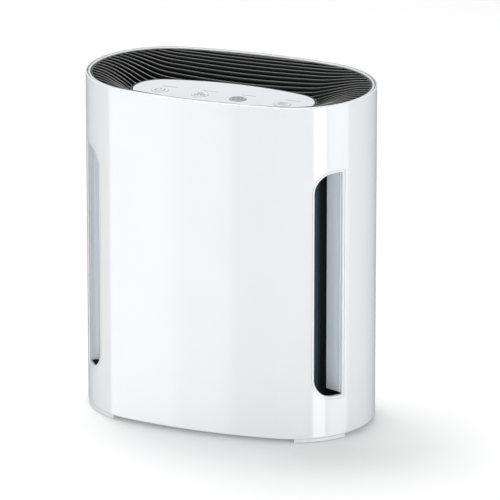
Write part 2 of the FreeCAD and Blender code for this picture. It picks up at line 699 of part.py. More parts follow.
def inlet_guard():
    """Finger guard in the chassis window: rings on four spokes."""
    y0 = MID_WALL_Y
    y1 = MID_WALL_Y + CHASSIS_T
    pieces = [ring_y(45.8, 43.6, y0, y1)]
    for radius in (36.0, 27.0, 18.0, 9.0):
        pieces.append(ring_y(radius + 0.8, radius - 0.8, y0, y1))
    for i in range(2):
        spoke = box(FAN_X - 45, FAN_X + 45, y0, y1, FAN_Z - 1.0, FAN_Z + 1.0)
        spoke.rotate(V(FAN_X, 0, FAN_Z), V(0, 1, 0), 45.0 + 90.0 * i)
        pieces.append(spoke)
    return fuse_all(pieces)


# ---- chassis --------------------------------------------------------------------------------
def inner_chassis():
    """The black frame: two side walls, the wall between fan and filter, and the filter's bay."""
    inner_x = CHASSIS_X - CHASSIS_T
    side = box(inner_x, CHASSIS_X, CHASSIS_FRONT, CHASSIS_REAR, CHASSIS_Z0, CHASSIS_Z1)
    mid = box(-inner_x, inner_x, MID_WALL_Y, MID_WALL_Y + CHASSIS_T, CHASSIS_Z0, CHASSIS_Z1)
    bay_y = MID_WALL_Y + CHASSIS_T
    floor = box(-inner_x, inner_x, bay_y, CHASSIS_REAR, CHAMBER_Z0 - 3.0, CHAMBER_Z0)
    ceiling = box(-inner_x, inner_x, bay_y, CHASSIS_REAR, CHAMBER_Z1, CHAMBER_Z1 + 3.0)
    rail_y = CHASSIS_FRONT + 2.6
    low_rail = box(-inner_x, inner_x, CHASSIS_FRONT, rail_y, 28, 36)
    high_rail = box(-inner_x, inner_x, CHASSIS_FRONT, rail_y, 260, CHASSIS_Z1)
    pieces = [side, mirror_x(side), mid, floor, ceiling, low_rail, high_rail]
    boss = rod_z(BOSS_X, -BOSS_Y, 5.0, CHASSIS_Z0, CHAMBER_Z0 - 2.0)
    gusset = box(BOSS_X, inner_x + 0.5, -BOSS_Y - 2.0, -BOSS_Y + 2.0, CHASSIS_Z0, CHAMBER_Z0 - 2.0)
    pieces += four_corners(boss.fuse(gusset))
    for x in (-PEG_X, PEG_X):
        pieces.append(box(x - 6, x + 6, 40, CHASSIS_REAR, 24.5, CHAMBER_Z0 - 2.0))
        pieces.append(box(x - 6, x + 6, 40, CHASSIS_REAR, CHAMBER_Z1 + 2.0, CHASSIS_Z1))
    chassis = fuse_all(pieces)
    chassis = chassis.cut(rod_y(FAN_X, FAN_Z, 46.0, MID_WALL_Y - 1, bay_y + 1))
    board_z1 = CHAMBER_Z0 - 6.0
    chassis = chassis.cut(box(MAIN_X0 - 3, MAIN_X1 + 3, MID_WALL_Y - 1, bay_y + 1, 0, board_z1))
    for x in (-PEG_X, PEG_X):
        for z in (PEG_LOW_Z, PEG_HIGH_Z):
            chassis = chassis.cut(rod_y(x, z, PEG_R + 0.3, 42, CHASSIS_REAR + 1))
    for x, z in EAR_SPOTS:
        chassis = chassis.cut(rod_y(x, z, 1.85, MID_WALL_Y - 1, MID_WALL_Y + 2.1))
    for hole in four_corners(rod_z(BOSS_X, -BOSS_Y, 1.85, CHASSIS_Z0 - 1, CHASSIS_Z0 + 11)):
        chassis = chassis.cut(hole)
    return chassis


def cover_switch():
    """The micro-switch that stops the fan when the rear cover is off."""
    case = box(-30, -10, 38, CHASSIS_REAR, 25.5, CHAMBER_Z0 - 3.0)
    return case.cut(rod_y(-20, PEG_LOW_Z, 1.7, 44, CHASSIS_REAR + 1))


def switch_plunger():
    return rod_y(-20, PEG_LOW_Z, 1.5, 45.5, 58.0)


# ---- filter cassette ------------------------------------------------------------------------
def filter_frame():
    outer = box(-FILTER_X, FILTER_X, FILTER_Y0, FILTER_Y1, FILTER_Z0, FILTER_Z1)
    core = box(-88.5, 88.5, FILTER_Y0 + 2, FILTER_Y1 - 2, FILTER_Z0 + 3, FILTER_Z1 - 3)
    window = box(-81, 81, FILTER_Y0 - 1, FILTER_Y1 + 1, FILTER_Z0 + 10, FILTER_Z1 - 10)
    return outer.cut(core).cut(window)


def carbon_layer():
    return box(-88.4, 88.4, FILTER_Y0 + 2.05, FILTER_Y0 + 12, FILTER_Z0 + 3.1, FILTER_Z1 - 3.1)


def hepa_pleats():
    return box(-88.4, 88.4, FILTER_Y0 + 12.1, FILTER_Y1 - 2.05, FILTER_Z0 + 3.1, FILTER_Z1 - 3.1)


def pre_filter():
    return box(-90, 90, FILTER_Y1, FILTER_Y1 + 1.5, FILTER_Z0 + 1.5, FILTER_Z1 - 1.5)


def filter_gasket():
    """A foam seal that meets the wall in front of the cassette."""
    y0 = MID_WALL_Y + CHASSIS_T + 0.4
    outer = box(-88, 88, y0, FILTER_Y0, FILTER_Z0 + 4, FILTER_Z1 - 4)
    return outer.cut(box(-80, 80, y0 - 1, FILTER_Y0 + 1, FILTER_Z0 + 12, FILTER_Z1 - 12))


def filter_pull_tab():
    """A folded ribbon loop on the back of the cassette."""
    def stadium(radius):
        strip = box(-11, 11, FILTER_Y1, 62, 181.5 - radius, 181.5 + radius)
        return strip.fuse(Part.makeCylinder(radius, 22, V(-11, 62, 181.5), V(1, 0, 0)))

    face_y = FILTER_Y1 + 1.5
    loop = stadium(3.6).cut(stadium(2.6))
    return loop.cut(box(-20, 20, 0, face_y, 170, 195))


# ---- rear cover -----------------------------------------------------------------------------
def rear_cover():
    """The removable back: a curved skin, a finger recess, four pegs and the switch's finger."""
    gap = COVER_GAP
    block = rounded_block_y(-COVER_X + gap, COVER_X - gap, COVER_Z0 + gap, COVER_Z1 - gap,
                            COVER_R - gap, 20, 90)
    outside = body_prism(0.0, COVER_Z0 - 5, COVER_Z1 + 5).common(block)
    skin = outside.cut(body_prism(COVER_T, COVER_Z0 - 10, COVER_Z1 + 10))
    cup = rounded_block_y(-34, 34, 228, 256, 10.0, 65, 90).common(outside)
    pieces = [skin, cup]
    for x in (-PEG_X, PEG_X):
        for z in (PEG_LOW_Z, PEG_HIGH_Z):
            pieces.append(rod_y(x, z, PEG_R, 45.0, 74.0))
    pieces.append(box(-24, -16, 58.3, 77.5, 27, 33))
    for z in (60.0, 100.0, 140.0, 195.0):
        rib = body_prism(COVER_T - 0.5, z - 0.8, z + 0.8).common(block)
        pieces.append(rib.cut(body_prism(COVER_T + 2.5, z - 2, z + 2)))
    cover = fuse_all(pieces)
    hollow = rounded_block_y(-32, 32, 230, 254, 8.0, 67.0, 95)
    return cover.cut(hollow)


# ---- base -----------------------------------------------------------------------------------
def foot_sector(outer_inset, inner_inset, margin, z0, z1):
    wedge = end_wedge(FOOT_DEG[0] + margin, FOOT_DEG[1] - margin, z0, z1)
    return body_band(outer_inset, inner_inset, z0, z1).common(wedge)


def base_plate():
    plate = body_prism(BASE_IN, BASE_Z, BASE_Z + BASE_T)
    kerb = body_band(BASE_IN, BASE_IN + 1.2, BASE_Z, BASE_Z + 5.5)
    kerb = kerb.cut(box(GLAND_X - 9, GLAND_X + 9, 50, 90, BASE_Z + BASE_T, 30))
    foot = foot_sector(0.3, 16.0, 0.0, FOOT_Z, SLEEVE_Z)
    neck = foot_sector(BASE_IN, 16.0, 0.0, SLEEVE_Z - 0.5, BASE_Z + 0.5)
    pieces = [plate, kerb] + four_corners(foot.fuse(neck))
    for x, y in STANDOFFS:
        pieces.append(rod_z(x, y, 3.5, BASE_Z + 1, MAIN_Z))
    base = fuse_all(pieces)
    for recess in four_corners(foot_sector(4.0, 12.0, 3.0, FOOT_Z - 1, FOOT_Z + 1.0)):
        base = base.cut(recess)
    for hole in four_corners(rod_z(BOSS_X, -BOSS_Y, 2.1, 0, 20)):
        base = base.cut(hole)
    for x, y in STANDOFFS:
        base = base.cut(rod_z(x, y, 1.3, BASE_Z + 3, MAIN_Z + 1))
    return base


def foot_pads():
    return Part.makeCompound(four_corners(foot_sector(4.0, 12.0, 3.0, 0.0, FOOT_Z + 1.0)))


def base_screws():
    screws = []
    for sx in (-1, 1):
        for sy in (-1, 1):
            tip = V(sx * BOSS_X, sy * BOSS_Y, CHASSIS_Z0 + 10.0)
            screws.append(screw(tip, V(0, 0, -1), CHASSIS_Z0 + 10.0 - BASE_Z, 1.8, 3.6, 2.2))
    return Part.makeCompound(screws)


def main_board():
    board = box(MAIN_X0, MAIN_X1, MAIN_Y0, MAIN_Y1, MAIN_Z, MAIN_Z + 1.6)
    for x, y in STANDOFFS:
        board = board.cut(rod_z(x, y, 1.6, MAIN_Z - 1, MAIN_Z + 3))
    return board


def board_components():
    top = MAIN_Z + 1.6
    parts = [
        box(-56, -28, -34, -10, top, top + 17),      # transformer
        box(-20, -2, -36, -22, top, top + 12),       # relay
        box(8, 28, 10, 18, top, top + 9),            # motor connector
        box(-50, -30, 12, 20, top, top + 9),         # panel connector
        rod_z(-14, -6, 5.0, top, top + 15),          # smoothing capacitors
        rod_z(0, -6, 5.0, top, top + 15),
        rod_z(16, -26, 4.0, top, top + 11),
        box(-16, 0, 8, 22, top, top + 1.6),          # controller chip
    ]
    return Part.makeCompound(parts)


def board_screws():
    tips = [V(x, y, BASE_Z + 4.0) for x, y in STANDOFFS]
    length = MAIN_Z + 1.6 - BASE_Z - 4.0
    return Part.makeCompound([screw(tip, V(0, 0, 1), length, 1.25, 2.6, 1.6) for tip in tips])


def cord_gland():
    """The bush where the mains cord enters, low on the back."""
    body = rod_y(GLAND_X, GLAND_Z, GLAND_R, 64.0, 78.4)
    flange = rod_y(GLAND_X, GLAND_Z, GLAND_FLANGE_R, 76.8, 78.4)
    nut = rod_y(GLAND_X, GLAND_Z, GLAND_FLANGE_R, 68.6, 71.4)
    gland = fuse_all([body, flange, nut])
    return gland.cut(rod_y(GLAND_X, GLAND_Z, GLAND_BORE_R, 60, 80))


# ---- write every piece ----------------------------------------------------------------------
liner = intake_liner()
pieces = {
    "outer_sleeve": outer_sleeve(),
    "rim_ring": rim_ring(),
    "intake_liner_right": liner,
    "intake_liner_left": mirror_x(liner),
    "top_grille": top_grille(),
    "control_panel": control_panel(),
    "power_key": key_cap(KEY_X[0]),
    "fan_speed_key": key_cap(KEY_X[1]),
    "timer_key": key_cap(KEY_X[2]),
    "filter_reset_key": key_cap(KEY_X[3]),
    "indicator_lenses": indicator_lenses(),
    "control_board": control_board(),
    "tact_switches": tact_switches(),
    "board_tray": board_tray(),
    "panel_screws": panel_screws(),
    "outlet_duct": outlet_duct(),
    "volute_housing": volute_housing(),
    "volute_cover": volute_cover(),
    "volute_screws": volute_screws(),
    "impeller": impeller(),
    "impeller_nut": hex_nut(-26.0, -22.5),
    "motor_can": motor_can(),
    "motor_bracket": motor_bracket(),
    "motor_grommets": motor_grommets(),
    "motor_screws": motor_screws(),
    "motor_stator": motor_stator(),
    "motor_rotor": motor_rotor(),
    "motor_shaft": motor_shaft(),
    "motor_bearings": motor_bearings(),
    "inlet_guard": inlet_guard(),
    "inner_chassis": inner_chassis(),
    "cover_switch": cover_switch(),
    "switch_plunger": switch_plunger(),
    "filter_frame": filter_frame(),
    "carbon_layer": carbon_layer(),
    "hepa_pleats": hepa_pleats(),
    "pre_filter": pre_filter(),
    "filter_gasket": filter_gasket(),
    "filter_pull_tab": filter_pull_tab(),
    "rear_cover": rear_cover(),
    "base_plate": base_plate(),
    "foot_pads": foot_pads(),
    "base_screws": base_screws(),
    "main_board": main_board(),
    "board_components": board_components(),
    "board_screws": board_screws(),
    "cord_gland": cord_gland(),
}
for node, shape in pieces.items():
    save(shape, node)
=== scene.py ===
# %% [markdown]
# # A room air purifier, dressed around its CAD frame
#
# The CAD model already holds every part in its place. This file adds what the eye needs: gloss white
# plastic, the dark fins of the outlet grille, printed key symbols, a pleated filter and soft light.

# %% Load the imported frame
import json
import math

import bmesh
import bpy
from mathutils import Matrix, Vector

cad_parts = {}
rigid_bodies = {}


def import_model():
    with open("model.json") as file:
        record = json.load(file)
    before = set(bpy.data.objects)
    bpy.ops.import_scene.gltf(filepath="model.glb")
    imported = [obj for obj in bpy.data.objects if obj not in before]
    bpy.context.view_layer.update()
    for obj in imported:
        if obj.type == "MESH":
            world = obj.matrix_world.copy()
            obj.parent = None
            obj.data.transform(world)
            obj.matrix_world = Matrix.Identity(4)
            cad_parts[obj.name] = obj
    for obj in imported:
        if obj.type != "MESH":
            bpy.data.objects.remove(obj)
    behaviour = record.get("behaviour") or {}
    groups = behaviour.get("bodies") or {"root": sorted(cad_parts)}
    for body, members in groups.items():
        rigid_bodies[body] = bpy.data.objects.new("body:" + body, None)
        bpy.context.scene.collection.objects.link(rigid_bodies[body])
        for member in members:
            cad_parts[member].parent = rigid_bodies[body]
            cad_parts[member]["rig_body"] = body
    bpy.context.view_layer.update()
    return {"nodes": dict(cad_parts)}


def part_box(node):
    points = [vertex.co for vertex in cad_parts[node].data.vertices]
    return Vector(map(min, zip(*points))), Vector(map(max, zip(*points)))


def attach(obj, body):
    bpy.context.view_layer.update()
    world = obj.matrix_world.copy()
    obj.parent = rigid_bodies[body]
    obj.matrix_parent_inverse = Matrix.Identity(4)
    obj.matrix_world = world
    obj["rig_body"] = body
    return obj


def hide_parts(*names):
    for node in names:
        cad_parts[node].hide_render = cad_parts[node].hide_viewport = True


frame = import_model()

MM = 0.001
nodes = frame["nodes"]

# %% [markdown]
# ## The camera and the room
#
# A long lens well back from the body keeps its upright edges nearly parallel, as in a catalogue picture.
# The camera looks down by about eighteen degrees, far enough to show the sunken grille and its panel.

# %% Camera
AZIMUTH = math.radians(21.53)
ELEVATION = math.radians(18.44)
DISTANCE = 5400 * MM
LENS = 429.8
SENSOR_WIDTH = 36.0
VIEW_LIMIT = 30.0
PITCH = math.radians(18.58)
YAW = math.radians(-0.192)
AIM_HEIGHT = 165 * MM


def make_camera():
    data = bpy.data.cameras.new("camera")
    data.lens = LENS
    data.sensor_width = SENSOR_WIDTH
    data.clip_end = VIEW_LIMIT
    camera = bpy.data.objects.new("camera", data)
    flat = DISTANCE * math.cos(ELEVATION)
    height = DISTANCE * math.sin(ELEVATION) + AIM_HEIGHT
    camera.location = (flat * math.sin(AZIMUTH), -flat * math.cos(AZIMUTH), height)
    heading = AZIMUTH + YAW
    ahead = Vector((-math.sin(heading) * math.cos(PITCH), math.cos(heading) * math.cos(PITCH),
                    -math.sin(PITCH)))
    camera.rotation_euler = ahead.to_track_quat("-Z", "Y").to_euler()
    bpy.context.scene.collection.objects.link(camera)
    bpy.context.scene.camera = camera


make_camera()
print("the camera stands", round(DISTANCE, 2), "m away with a lens of", LENS, "mm")

# %% [markdown]
# ## The tools for materials
#
# A colour on a paint chart is a hex value made for screens. Blender works with linear light, so one
# function turns each hex value into linear numbers. Another small function adds a node, gives it its
# settings and wires its inputs, so that each material below reads like a recipe.

# %% Colours and nodes
def linear(hex_colour):
    parts = [int(hex_colour[i:i + 2], 16) / 255 for i in (1, 3, 5)]
    return tuple(p / 12.92 if p <= 0.04045 else ((p + 0.055) / 1.055) ** 2.4 for p in parts) + (1.0,)


def add(tree, kind, settings=None, **inputs):
    """A node of that kind. Settings are its own properties. An input is a value or another socket."""
    node = tree.nodes.new(kind)
    for name, value in (settings or {}).items():
        setattr(node, name, value)
    for name, value in inputs.items():
        key = int(name[1:]) if name[0] == "i" and name[1:].isdigit() else name.replace("_", " ")
        if isinstance(value, bpy.types.NodeSocket):
            tree.links.new(value, node.inputs[key])
        else:
            node.inputs[key].default_value = value
    return node


print("a middle grey of #808080 is", round(linear("#808080")[0], 3), "in linear light")

# %% [markdown]
# Most recipes need the same three things: a place on the part for the pattern to follow, a colour that
# lies between two others, and a bump that tips the light without moving the surface.


# %% What most recipes share
CAD_FINISHES = len(bpy.data.materials)


def new_material(name):
    """An empty material with one Principled shader, and its tree."""
    material = bpy.data.materials.new(name)
    material.use_nodes = True
    tree = material.node_tree
    tree.nodes.clear()
    shader = add(tree, "ShaderNodeBsdfPrincipled")
    output = add(tree, "ShaderNodeOutputMaterial")
    tree.links.new(shader.outputs["BSDF"], output.inputs["Surface"])
    return material, tree, shader


def set_inputs(node, **values):
    for name, value in values.items():
        node.inputs[name.replace("_", " ")].default_value = value


def per_metre(size_mm):
    """The noise scale whose features are about this many millimetres across."""
    return 1.0 / (size_mm * MM)


def place_on(tree):
    """The place on the part itself, so that a pattern moves with its part."""
    return add(tree, "ShaderNodeTexCoord").outputs["Object"]


def colour_between(tree, factor, colour, shade):
    """A Mix node keeps its two colours in sockets 6 and 7, and its result in output 2."""
    mix = add(tree, "ShaderNodeMix", {"data_type": "RGBA"}, i0=factor, i6=linear(colour), i7=linear(shade))
    return mix.outputs[2]


def add_bump(tree, shader, height, depth_mm, strength=1.0):
    bump = add(tree, "ShaderNodeBump", Height=height, Strength=strength, Distance=depth_mm * MM)
    tree.links.new(bump.outputs["Normal"], shader.inputs["Normal"])


print("a grain of 0.5 mm needs a noise scale of", per_metre(0.5))

# %% [markdown]
# ## Moulded plastics
#
# Almost every part is injection moulded. The steel mould gives the plastic its skin: a polished mould
# leaves gloss, a spark-eroded one leaves a fine satin grain. One recipe covers them all: a base colour
# that drifts very slightly over the part, a grain height for the bump, and a roughness that wanders a little.

# %% The moulded plastic recipe
DRIFT_MM = 60.0
PLASTIC_IOR = 1.5
COAT_ROUGHNESS = 0.09
ROUGHNESS_SWING = 0.08


def moulded(name, colour, shade, roughness, grain_mm, grain_depth_mm, coat=0.0):
    """Plastic from a mould: colour drifts towards shade, and a fine grain catches the light."""
    material, tree, shader = new_material(name)
    place = place_on(tree)
    drift = add(tree, "ShaderNodeTexNoise", Vector=place, Scale=per_metre(DRIFT_MM),
                Detail=2.0).outputs["Fac"]
    tree.links.new(colour_between(tree, drift, colour, shade), shader.inputs["Base Color"])
    wander = add(tree, "ShaderNodeMapRange", Value=drift, To_Min=roughness * (1 - ROUGHNESS_SWING),
                 To_Max=roughness * (1 + ROUGHNESS_SWING))
    tree.links.new(wander.outputs["Result"], shader.inputs["Roughness"])
    grain = add(tree, "ShaderNodeTexNoise", Vector=place, Scale=per_metre(grain_mm), Detail=3.0)
    add_bump(tree, shader, grain.outputs["Fac"], grain_depth_mm)
    set_inputs(shader, IOR=PLASTIC_IOR, Coat_Weight=coat, Coat_Roughness=COAT_ROUGHNESS)
    return material


print("a plastic's colour drifts over", DRIFT_MM, "mm")

# %% [markdown]
# The shell is polished ABS: a clean, bright skin with the faint waviness that a thick moulding keeps as it
# cools. The vanes in the slots are a satin pale blue-grey from an etched mould. The grille is spark-eroded
# black, dark and even, and turns grey where a fin's round edge catches the light. The chassis, which shows
# inside the slots, is a smoother black with a touch of blue.

# %% The shell, the slots and the grille
white_gloss = moulded("gloss_white_abs", "#EDF0F2", "#E9EDF0", 0.17, 14.0, 0.006, coat=1.0)
white_base = moulded("gloss_white_abs_base", "#E8ECEF", "#E2E6EA", 0.22, 10.0, 0.008)
grey_liner = moulded("satin_grey_abs", "#F1F7FD", "#EAF2FA", 0.3, 0.7, 0.008, coat=0.3)
satin_black = moulded("spark_eroded_black_abs", "#0A0C0E", "#0E1113", 0.34, 0.6, 0.01, coat=0.45)
hidden_black = moulded("plain_black_abs", "#0C0D0F", "#121416", 0.55, 0.8, 0.02)
chassis_black = moulded("blue_black_abs", "#566770", "#4F6069", 0.34, 0.8, 0.01)
print("plastics so far:", len(bpy.data.materials) - CAD_FINISHES)

# %% [markdown]
# The panel and its keys are lacquered after moulding, so their skin is finer than the shell's, and the
# timer key is a darker grey. The parts inside are plain: milky polypropylene for the fan wheel, pressed
# card round the filter, rubber feet and grommets, and foam that seals the cassette.

# %% The panel and the parts inside
pearl_panel = moulded("pearl_lacquer", "#EEF1F3", "#E6EAED", 0.26, 0.8, 0.004, coat=0.3)
pearl_key = moulded("pearl_lacquer_key", "#E9EDEF", "#E1E6E9", 0.3, 0.7, 0.004, coat=0.3)
grey_key = moulded("grey_lacquer_key", "#A9AEB4", "#A1A7AD", 0.34, 0.7, 0.004, coat=0.3)
wheel_plastic = moulded("milk_white_pp", "#C9C8C2", "#BDBCB5", 0.45, 1.0, 0.02)
filter_card = moulded("pressed_card", "#DEDCD4", "#D2D0C7", 0.75, 1.2, 0.05)
rubber = moulded("matt_black_rubber", "#17181A", "#1E1F21", 0.72, 0.9, 0.02)
foam = moulded("open_cell_foam", "#3A3C40", "#2C2E31", 0.95, 0.8, 0.25)
part_plastic = moulded("component_plastic", "#1B1D22", "#24262B", 0.4, 1.0, 0.01)
key_ink = moulded("grey_pad_print_ink", "#6B7278", "#646B71", 0.5, 0.4, 0.004)
net_plastic = moulded("black_net_polyester", "#141517", "#1C1D20", 0.5, 1.0, 0.02)
plunger_red = moulded("red_acetal", "#A0241C", "#8E1D17", 0.35, 0.8, 0.01)
print("moulded finishes:", len(bpy.data.materials) - CAD_FINISHES)

# %% [markdown]
# ## Metals
#
# Screws and the motor's can are zinc plated. The zinc grows in small crystals, so its roughness changes
# from spot to spot: a cell pattern drives it. Enamelled copper gets the same recipe in another colour.

# %% Steel and copper
MOTTLE = 1.5


def plated_steel(name, colour, roughness, grain_mm):
    """Zinc plate: bright grey metal with a faint crystalline mottling."""
    material, tree, shader = new_material(name)
    cells = add(tree, "ShaderNodeTexVoronoi", Vector=place_on(tree), Scale=per_metre(grain_mm))
    spread = add(tree, "ShaderNodeMapRange", Value=cells.outputs["Distance"], To_Min=roughness,
                 To_Max=roughness * MOTTLE)
    tree.links.new(spread.outputs["Result"], shader.inputs["Roughness"])
    set_inputs(shader, Base_Color=linear(colour), Metallic=1.0)
    return material


zinc = plated_steel("zinc_plated_steel", "#B4B6B8", 0.28, 1.5)
motor_steel = plated_steel("galvanised_motor_steel", "#9EA1A4", 0.36, 4.0)
copper = plated_steel("enamelled_copper", "#B4622E", 0.3, 1.0)
print("metals:", zinc.name, motor_steel.name, copper.name)

# %% [markdown]
# ## Circuit boards and lenses
#
# A circuit board is green because a resist covers its copper: the tracks show through as lighter, raised
# lines, and the joints of a brick pattern stand for them. The lenses over the keys are smoked plastic.


# %% Solder mask and smoked plastic
def solder_mask():
    """Green resist over copper tracks: the tracks show as slightly lighter, raised lines."""
    material, tree, shader = new_material("solder_mask")
    tracks = add(tree, "ShaderNodeTexBrick", Vector=place_on(tree), Scale=per_metre(12.0),
                 Color1=linear("#0E4A24"), Color2=linear("#0B3F1E"), Mortar=linear("#1A6A38"),
                 Mortar_Size=0.03)
    tree.links.new(tracks.outputs["Color"], shader.inputs["Base Color"])
    add_bump(tree, shader, tracks.outputs["Fac"], 0.05, strength=0.5)
    set_inputs(shader, Roughness=0.3)
    return material


def smoked_lens():
    """Smoked polycarbonate light pipes: dull grey while their lamps are off."""
    material, tree, shader = new_material("smoked_polycarbonate")
    set_inputs(shader, Base_Color=linear("#A9B0B5"), Roughness=0.12, IOR=1.58)
    ripple = add(tree, "ShaderNodeTexNoise", Vector=place_on(tree), Scale=per_metre(1.0))
    add_bump(tree, shader, ripple.outputs["Fac"], 0.01, strength=0.3)
    return material


circuit_board = solder_mask()
lens_plastic = smoked_lens()
print("made", circuit_board.name, "and", lens_plastic.name)

# %% [markdown]
# ## Filter cloth and ribbon
#
# Fleece is made of short fibres laid in every direction and bonded by heat, so it has no weave to show. A
# noise with many fine layers gives both its mottled tone and its felt-like surface.


# %% Fleece
def fleece(name, colour, shade, fibre_mm, depth_mm):
    """Non-woven cloth: short fibres in every direction, seen as a fine mottled felt."""
    material, tree, shader = new_material(name)
    fibres = add(tree, "ShaderNodeTexNoise", Vector=place_on(tree), Scale=per_metre(fibre_mm), Detail=8.0,
                 Roughness=0.7).outputs["Fac"]
    tree.links.new(colour_between(tree, fibres, colour, shade), shader.inputs["Base Color"])
    add_bump(tree, shader, fibres, depth_mm)
    set_inputs(shader, Roughness=0.95, Sheen_Weight=0.15)
    return material


paper_fleece = fleece("filter_fleece", "#EFEEE8", "#DCDAD2", 0.8, 0.1)
carbon_cloth = fleece("carbon_cloth", "#202124", "#101113", 1.0, 0.3)
ribbon_weave = fleece("blue_ribbon", "#2F5E9E", "#27508A", 0.5, 0.05)
print("finishes in all:", len(bpy.data.materials) - CAD_FINISHES)

# %% [markdown]
# ## Dress the CAD parts
#
# A CAD part whose shape is already right keeps its mesh and only changes its material slots.

# %% Materials of the CAD nodes
FINISHES = {
    white_gloss: ("outer_sleeve", "rim_ring", "rear_cover"),
    white_base: ("base_plate",),
    grey_liner: ("intake_liner_right", "intake_liner_left"),
    satin_black: ("top_grille",),
    hidden_black: ("board_tray", "outlet_duct", "volute_housing", "volute_cover", "inlet_guard",
                   "cover_switch", "tact_switches"),
    chassis_black: ("inner_chassis",),
    pearl_panel: ("control_panel",),
    pearl_key: ("power_key", "fan_speed_key", "filter_reset_key"),
    grey_key: ("timer_key",),
    lens_plastic: ("indicator_lenses",),
    circuit_board: ("control_board", "main_board"),
    part_plastic: ("board_components",),
    zinc: ("panel_screws", "volute_screws", "impeller_nut", "motor_screws", "motor_shaft",
           "motor_bearings", "base_screws", "board_screws"),
    wheel_plastic: ("impeller",),
    motor_steel: ("motor_can", "motor_bracket", "motor_rotor"),
    copper: ("motor_stator",),
    rubber: ("motor_grommets", "foot_pads", "cord_gland"),
    plunger_red: ("switch_plunger",),
    filter_card: ("filter_frame",),
    carbon_cloth: ("carbon_layer", "pre_filter"),
    paper_fleece: ("hepa_pleats",),
    foam: ("filter_gasket",),
    ribbon_weave: ("filter_pull_tab",),
}


def dress(node, material):
    slots = nodes[node].data.materials
    slots.clear()
    slots.append(material)


for material, names in FINISHES.items():
    for name in names:
        dress(name, material)
undressed = set(nodes) - {name for names in FINISHES.values() for name in names}
print("nodes with no finish:", sorted(undressed))

# %% [markdown]
# ## Growing what repeats
#
# Fins, pleats and threads follow a rule, so Geometry Nodes grow them: a tree of small steps takes named
# sizes and returns the finished shape. The result becomes a plain mesh at the end, because a plain mesh
# is what another program, or a physics engine, can read.

# %% How a rule starts, ends and runs
CORNER_STEPS = 4
SOCKETS = {int: "NodeSocketInt", float: "NodeSocketFloat", bpy.types.Object: "NodeSocketObject",
           bpy.types.Material: "NodeSocketMaterial"}


def new_rule(name, values):
    """An empty tree with a geometry input and output, and one named input for each value."""
    tree = bpy.data.node_groups.new(name, "GeometryNodeTree")
    tree.interface.new_socket(name="Geometry", in_out="INPUT", socket_type="NodeSocketGeometry")
    for label, value in values.items():
        tree.interface.new_socket(name=label, in_out="INPUT", socket_type=SOCKETS[type(value)])
    tree.interface.new_socket(name="Geometry", in_out="OUTPUT", socket_type="NodeSocketGeometry")
    return tree, add(tree, "NodeGroupInput").outputs


def close_rule(tree, geometry, finish):
    """Every tree ends in the same way: instances become real mesh and get their material."""
    real = add(tree, "GeometryNodeRealizeInstances", Geometry=geometry)
    painted = add(tree, "GeometryNodeSetMaterial", Geometry=real.outputs[0], Material=finish)
    add(tree, "NodeGroupOutput", Geometry=painted.outputs[0])


def grow(name, mesh, tree, values):
    """Runs the tree on the mesh and keeps the result as a plain object."""
    thing = bpy.data.objects.new(name, mesh)
    bpy.context.scene.collection.objects.link(thing)
    modifier = thing.modifiers.new("rule", "NODES")
    modifier.node_group = tree
    for item in tree.interface.items_tree:
        if item.in_out == "INPUT" and item.name in values:
            modifier[item.identifier] = values[item.name]
    bpy.context.view_layer.update()
    grown = thing.evaluated_get(bpy.context.evaluated_depsgraph_get())
    plain = bpy.data.meshes.new_from_object(grown)
    thing.modifiers.clear()
    thing.data = plain
    print(name, "has", len(plain.polygons), "faces")
    return thing


print("a rule takes", len(SOCKETS), "kinds of value")

# %% [markdown]
# The rules below share a few steps. Each becomes a short function here, so that a rule reads as what it
# does: set out a row of points, put copies on them, sweep a profile along a curve, join the parts.


# %% Steps that the rules share
def maths(tree, operation, a, b=0.0, c=0.0):
    return add(tree, "ShaderNodeMath", {"operation": operation}, i0=a, i1=b, i2=c).outputs[0]


def point(tree, **parts):
    """A point from its X, Y and Z. A part that isn't given is 0."""
    return add(tree, "ShaderNodeCombineXYZ", **parts).outputs[0]


def parts_of_position(tree):
    position = add(tree, "GeometryNodeInputPosition").outputs[0]
    return add(tree, "ShaderNodeSeparateXYZ", i0=position).outputs


def row(tree, count, start, end):
    """A row of points. In this mode the socket named Offset holds the row's end."""
    return add(tree, "GeometryNodeMeshLine", {"mode": "END_POINTS"}, Count=count, Start_Location=start,
               Offset=end).outputs[0]


def copies_on(tree, points, shape, turn=(0, 0, 0)):
    return add(tree, "GeometryNodeInstanceOnPoints", Points=points, Instance=shape,
               Rotation=turn).outputs[0]


def sweep(tree, curve, profile):
    """A profile along a curve that keeps its upright direction, with its ends closed."""
    upright = add(tree, "GeometryNodeSetCurveNormal", {"mode": "Z_UP"}, Curve=curve)
    return add(tree, "GeometryNodeCurveToMesh", Curve=upright.outputs[0], Profile_Curve=profile,
               Fill_Caps=True).outputs[0]


def rectangle(tree, width, height):
    return add(tree, "GeometryNodeCurvePrimitiveQuadrilateral", Width=width, Height=height).outputs[0]


def round_corners(tree, curve, radius):
    return add(tree, "GeometryNodeFilletCurve", {"mode": "POLY"}, Curve=curve, Count=CORNER_STEPS,
               Radius=radius).outputs[0]


def join(tree, *parts):
    whole = add(tree, "GeometryNodeJoinGeometry")
    for part in parts:
        tree.links.new(part, whole.inputs[0])
    return whole.outputs[0]


def stand_for(thing, node):
    """The grown piece takes the place of a CAD node and rides on the same body."""
    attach(thing, nodes[node]["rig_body"])
    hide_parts(node)


print("steps ready for the fins, the pleats and the net")

# %% [markdown]
# ## The outlines of the body and of the panel
#
# Both are ovals made of four arcs that run into one another without a kink: two round ends and two long
# sides that bow out slightly. The helpers below return such an outline as points, and give the place
# where an outline crosses a line of constant X.

# %% Oval outlines
BODY = (135.0, 80.0, 75.0, 0.0)          # half width, half depth, end radius, middle Y
PANEL = (86.0, 36.0, 28.0, -18.0)


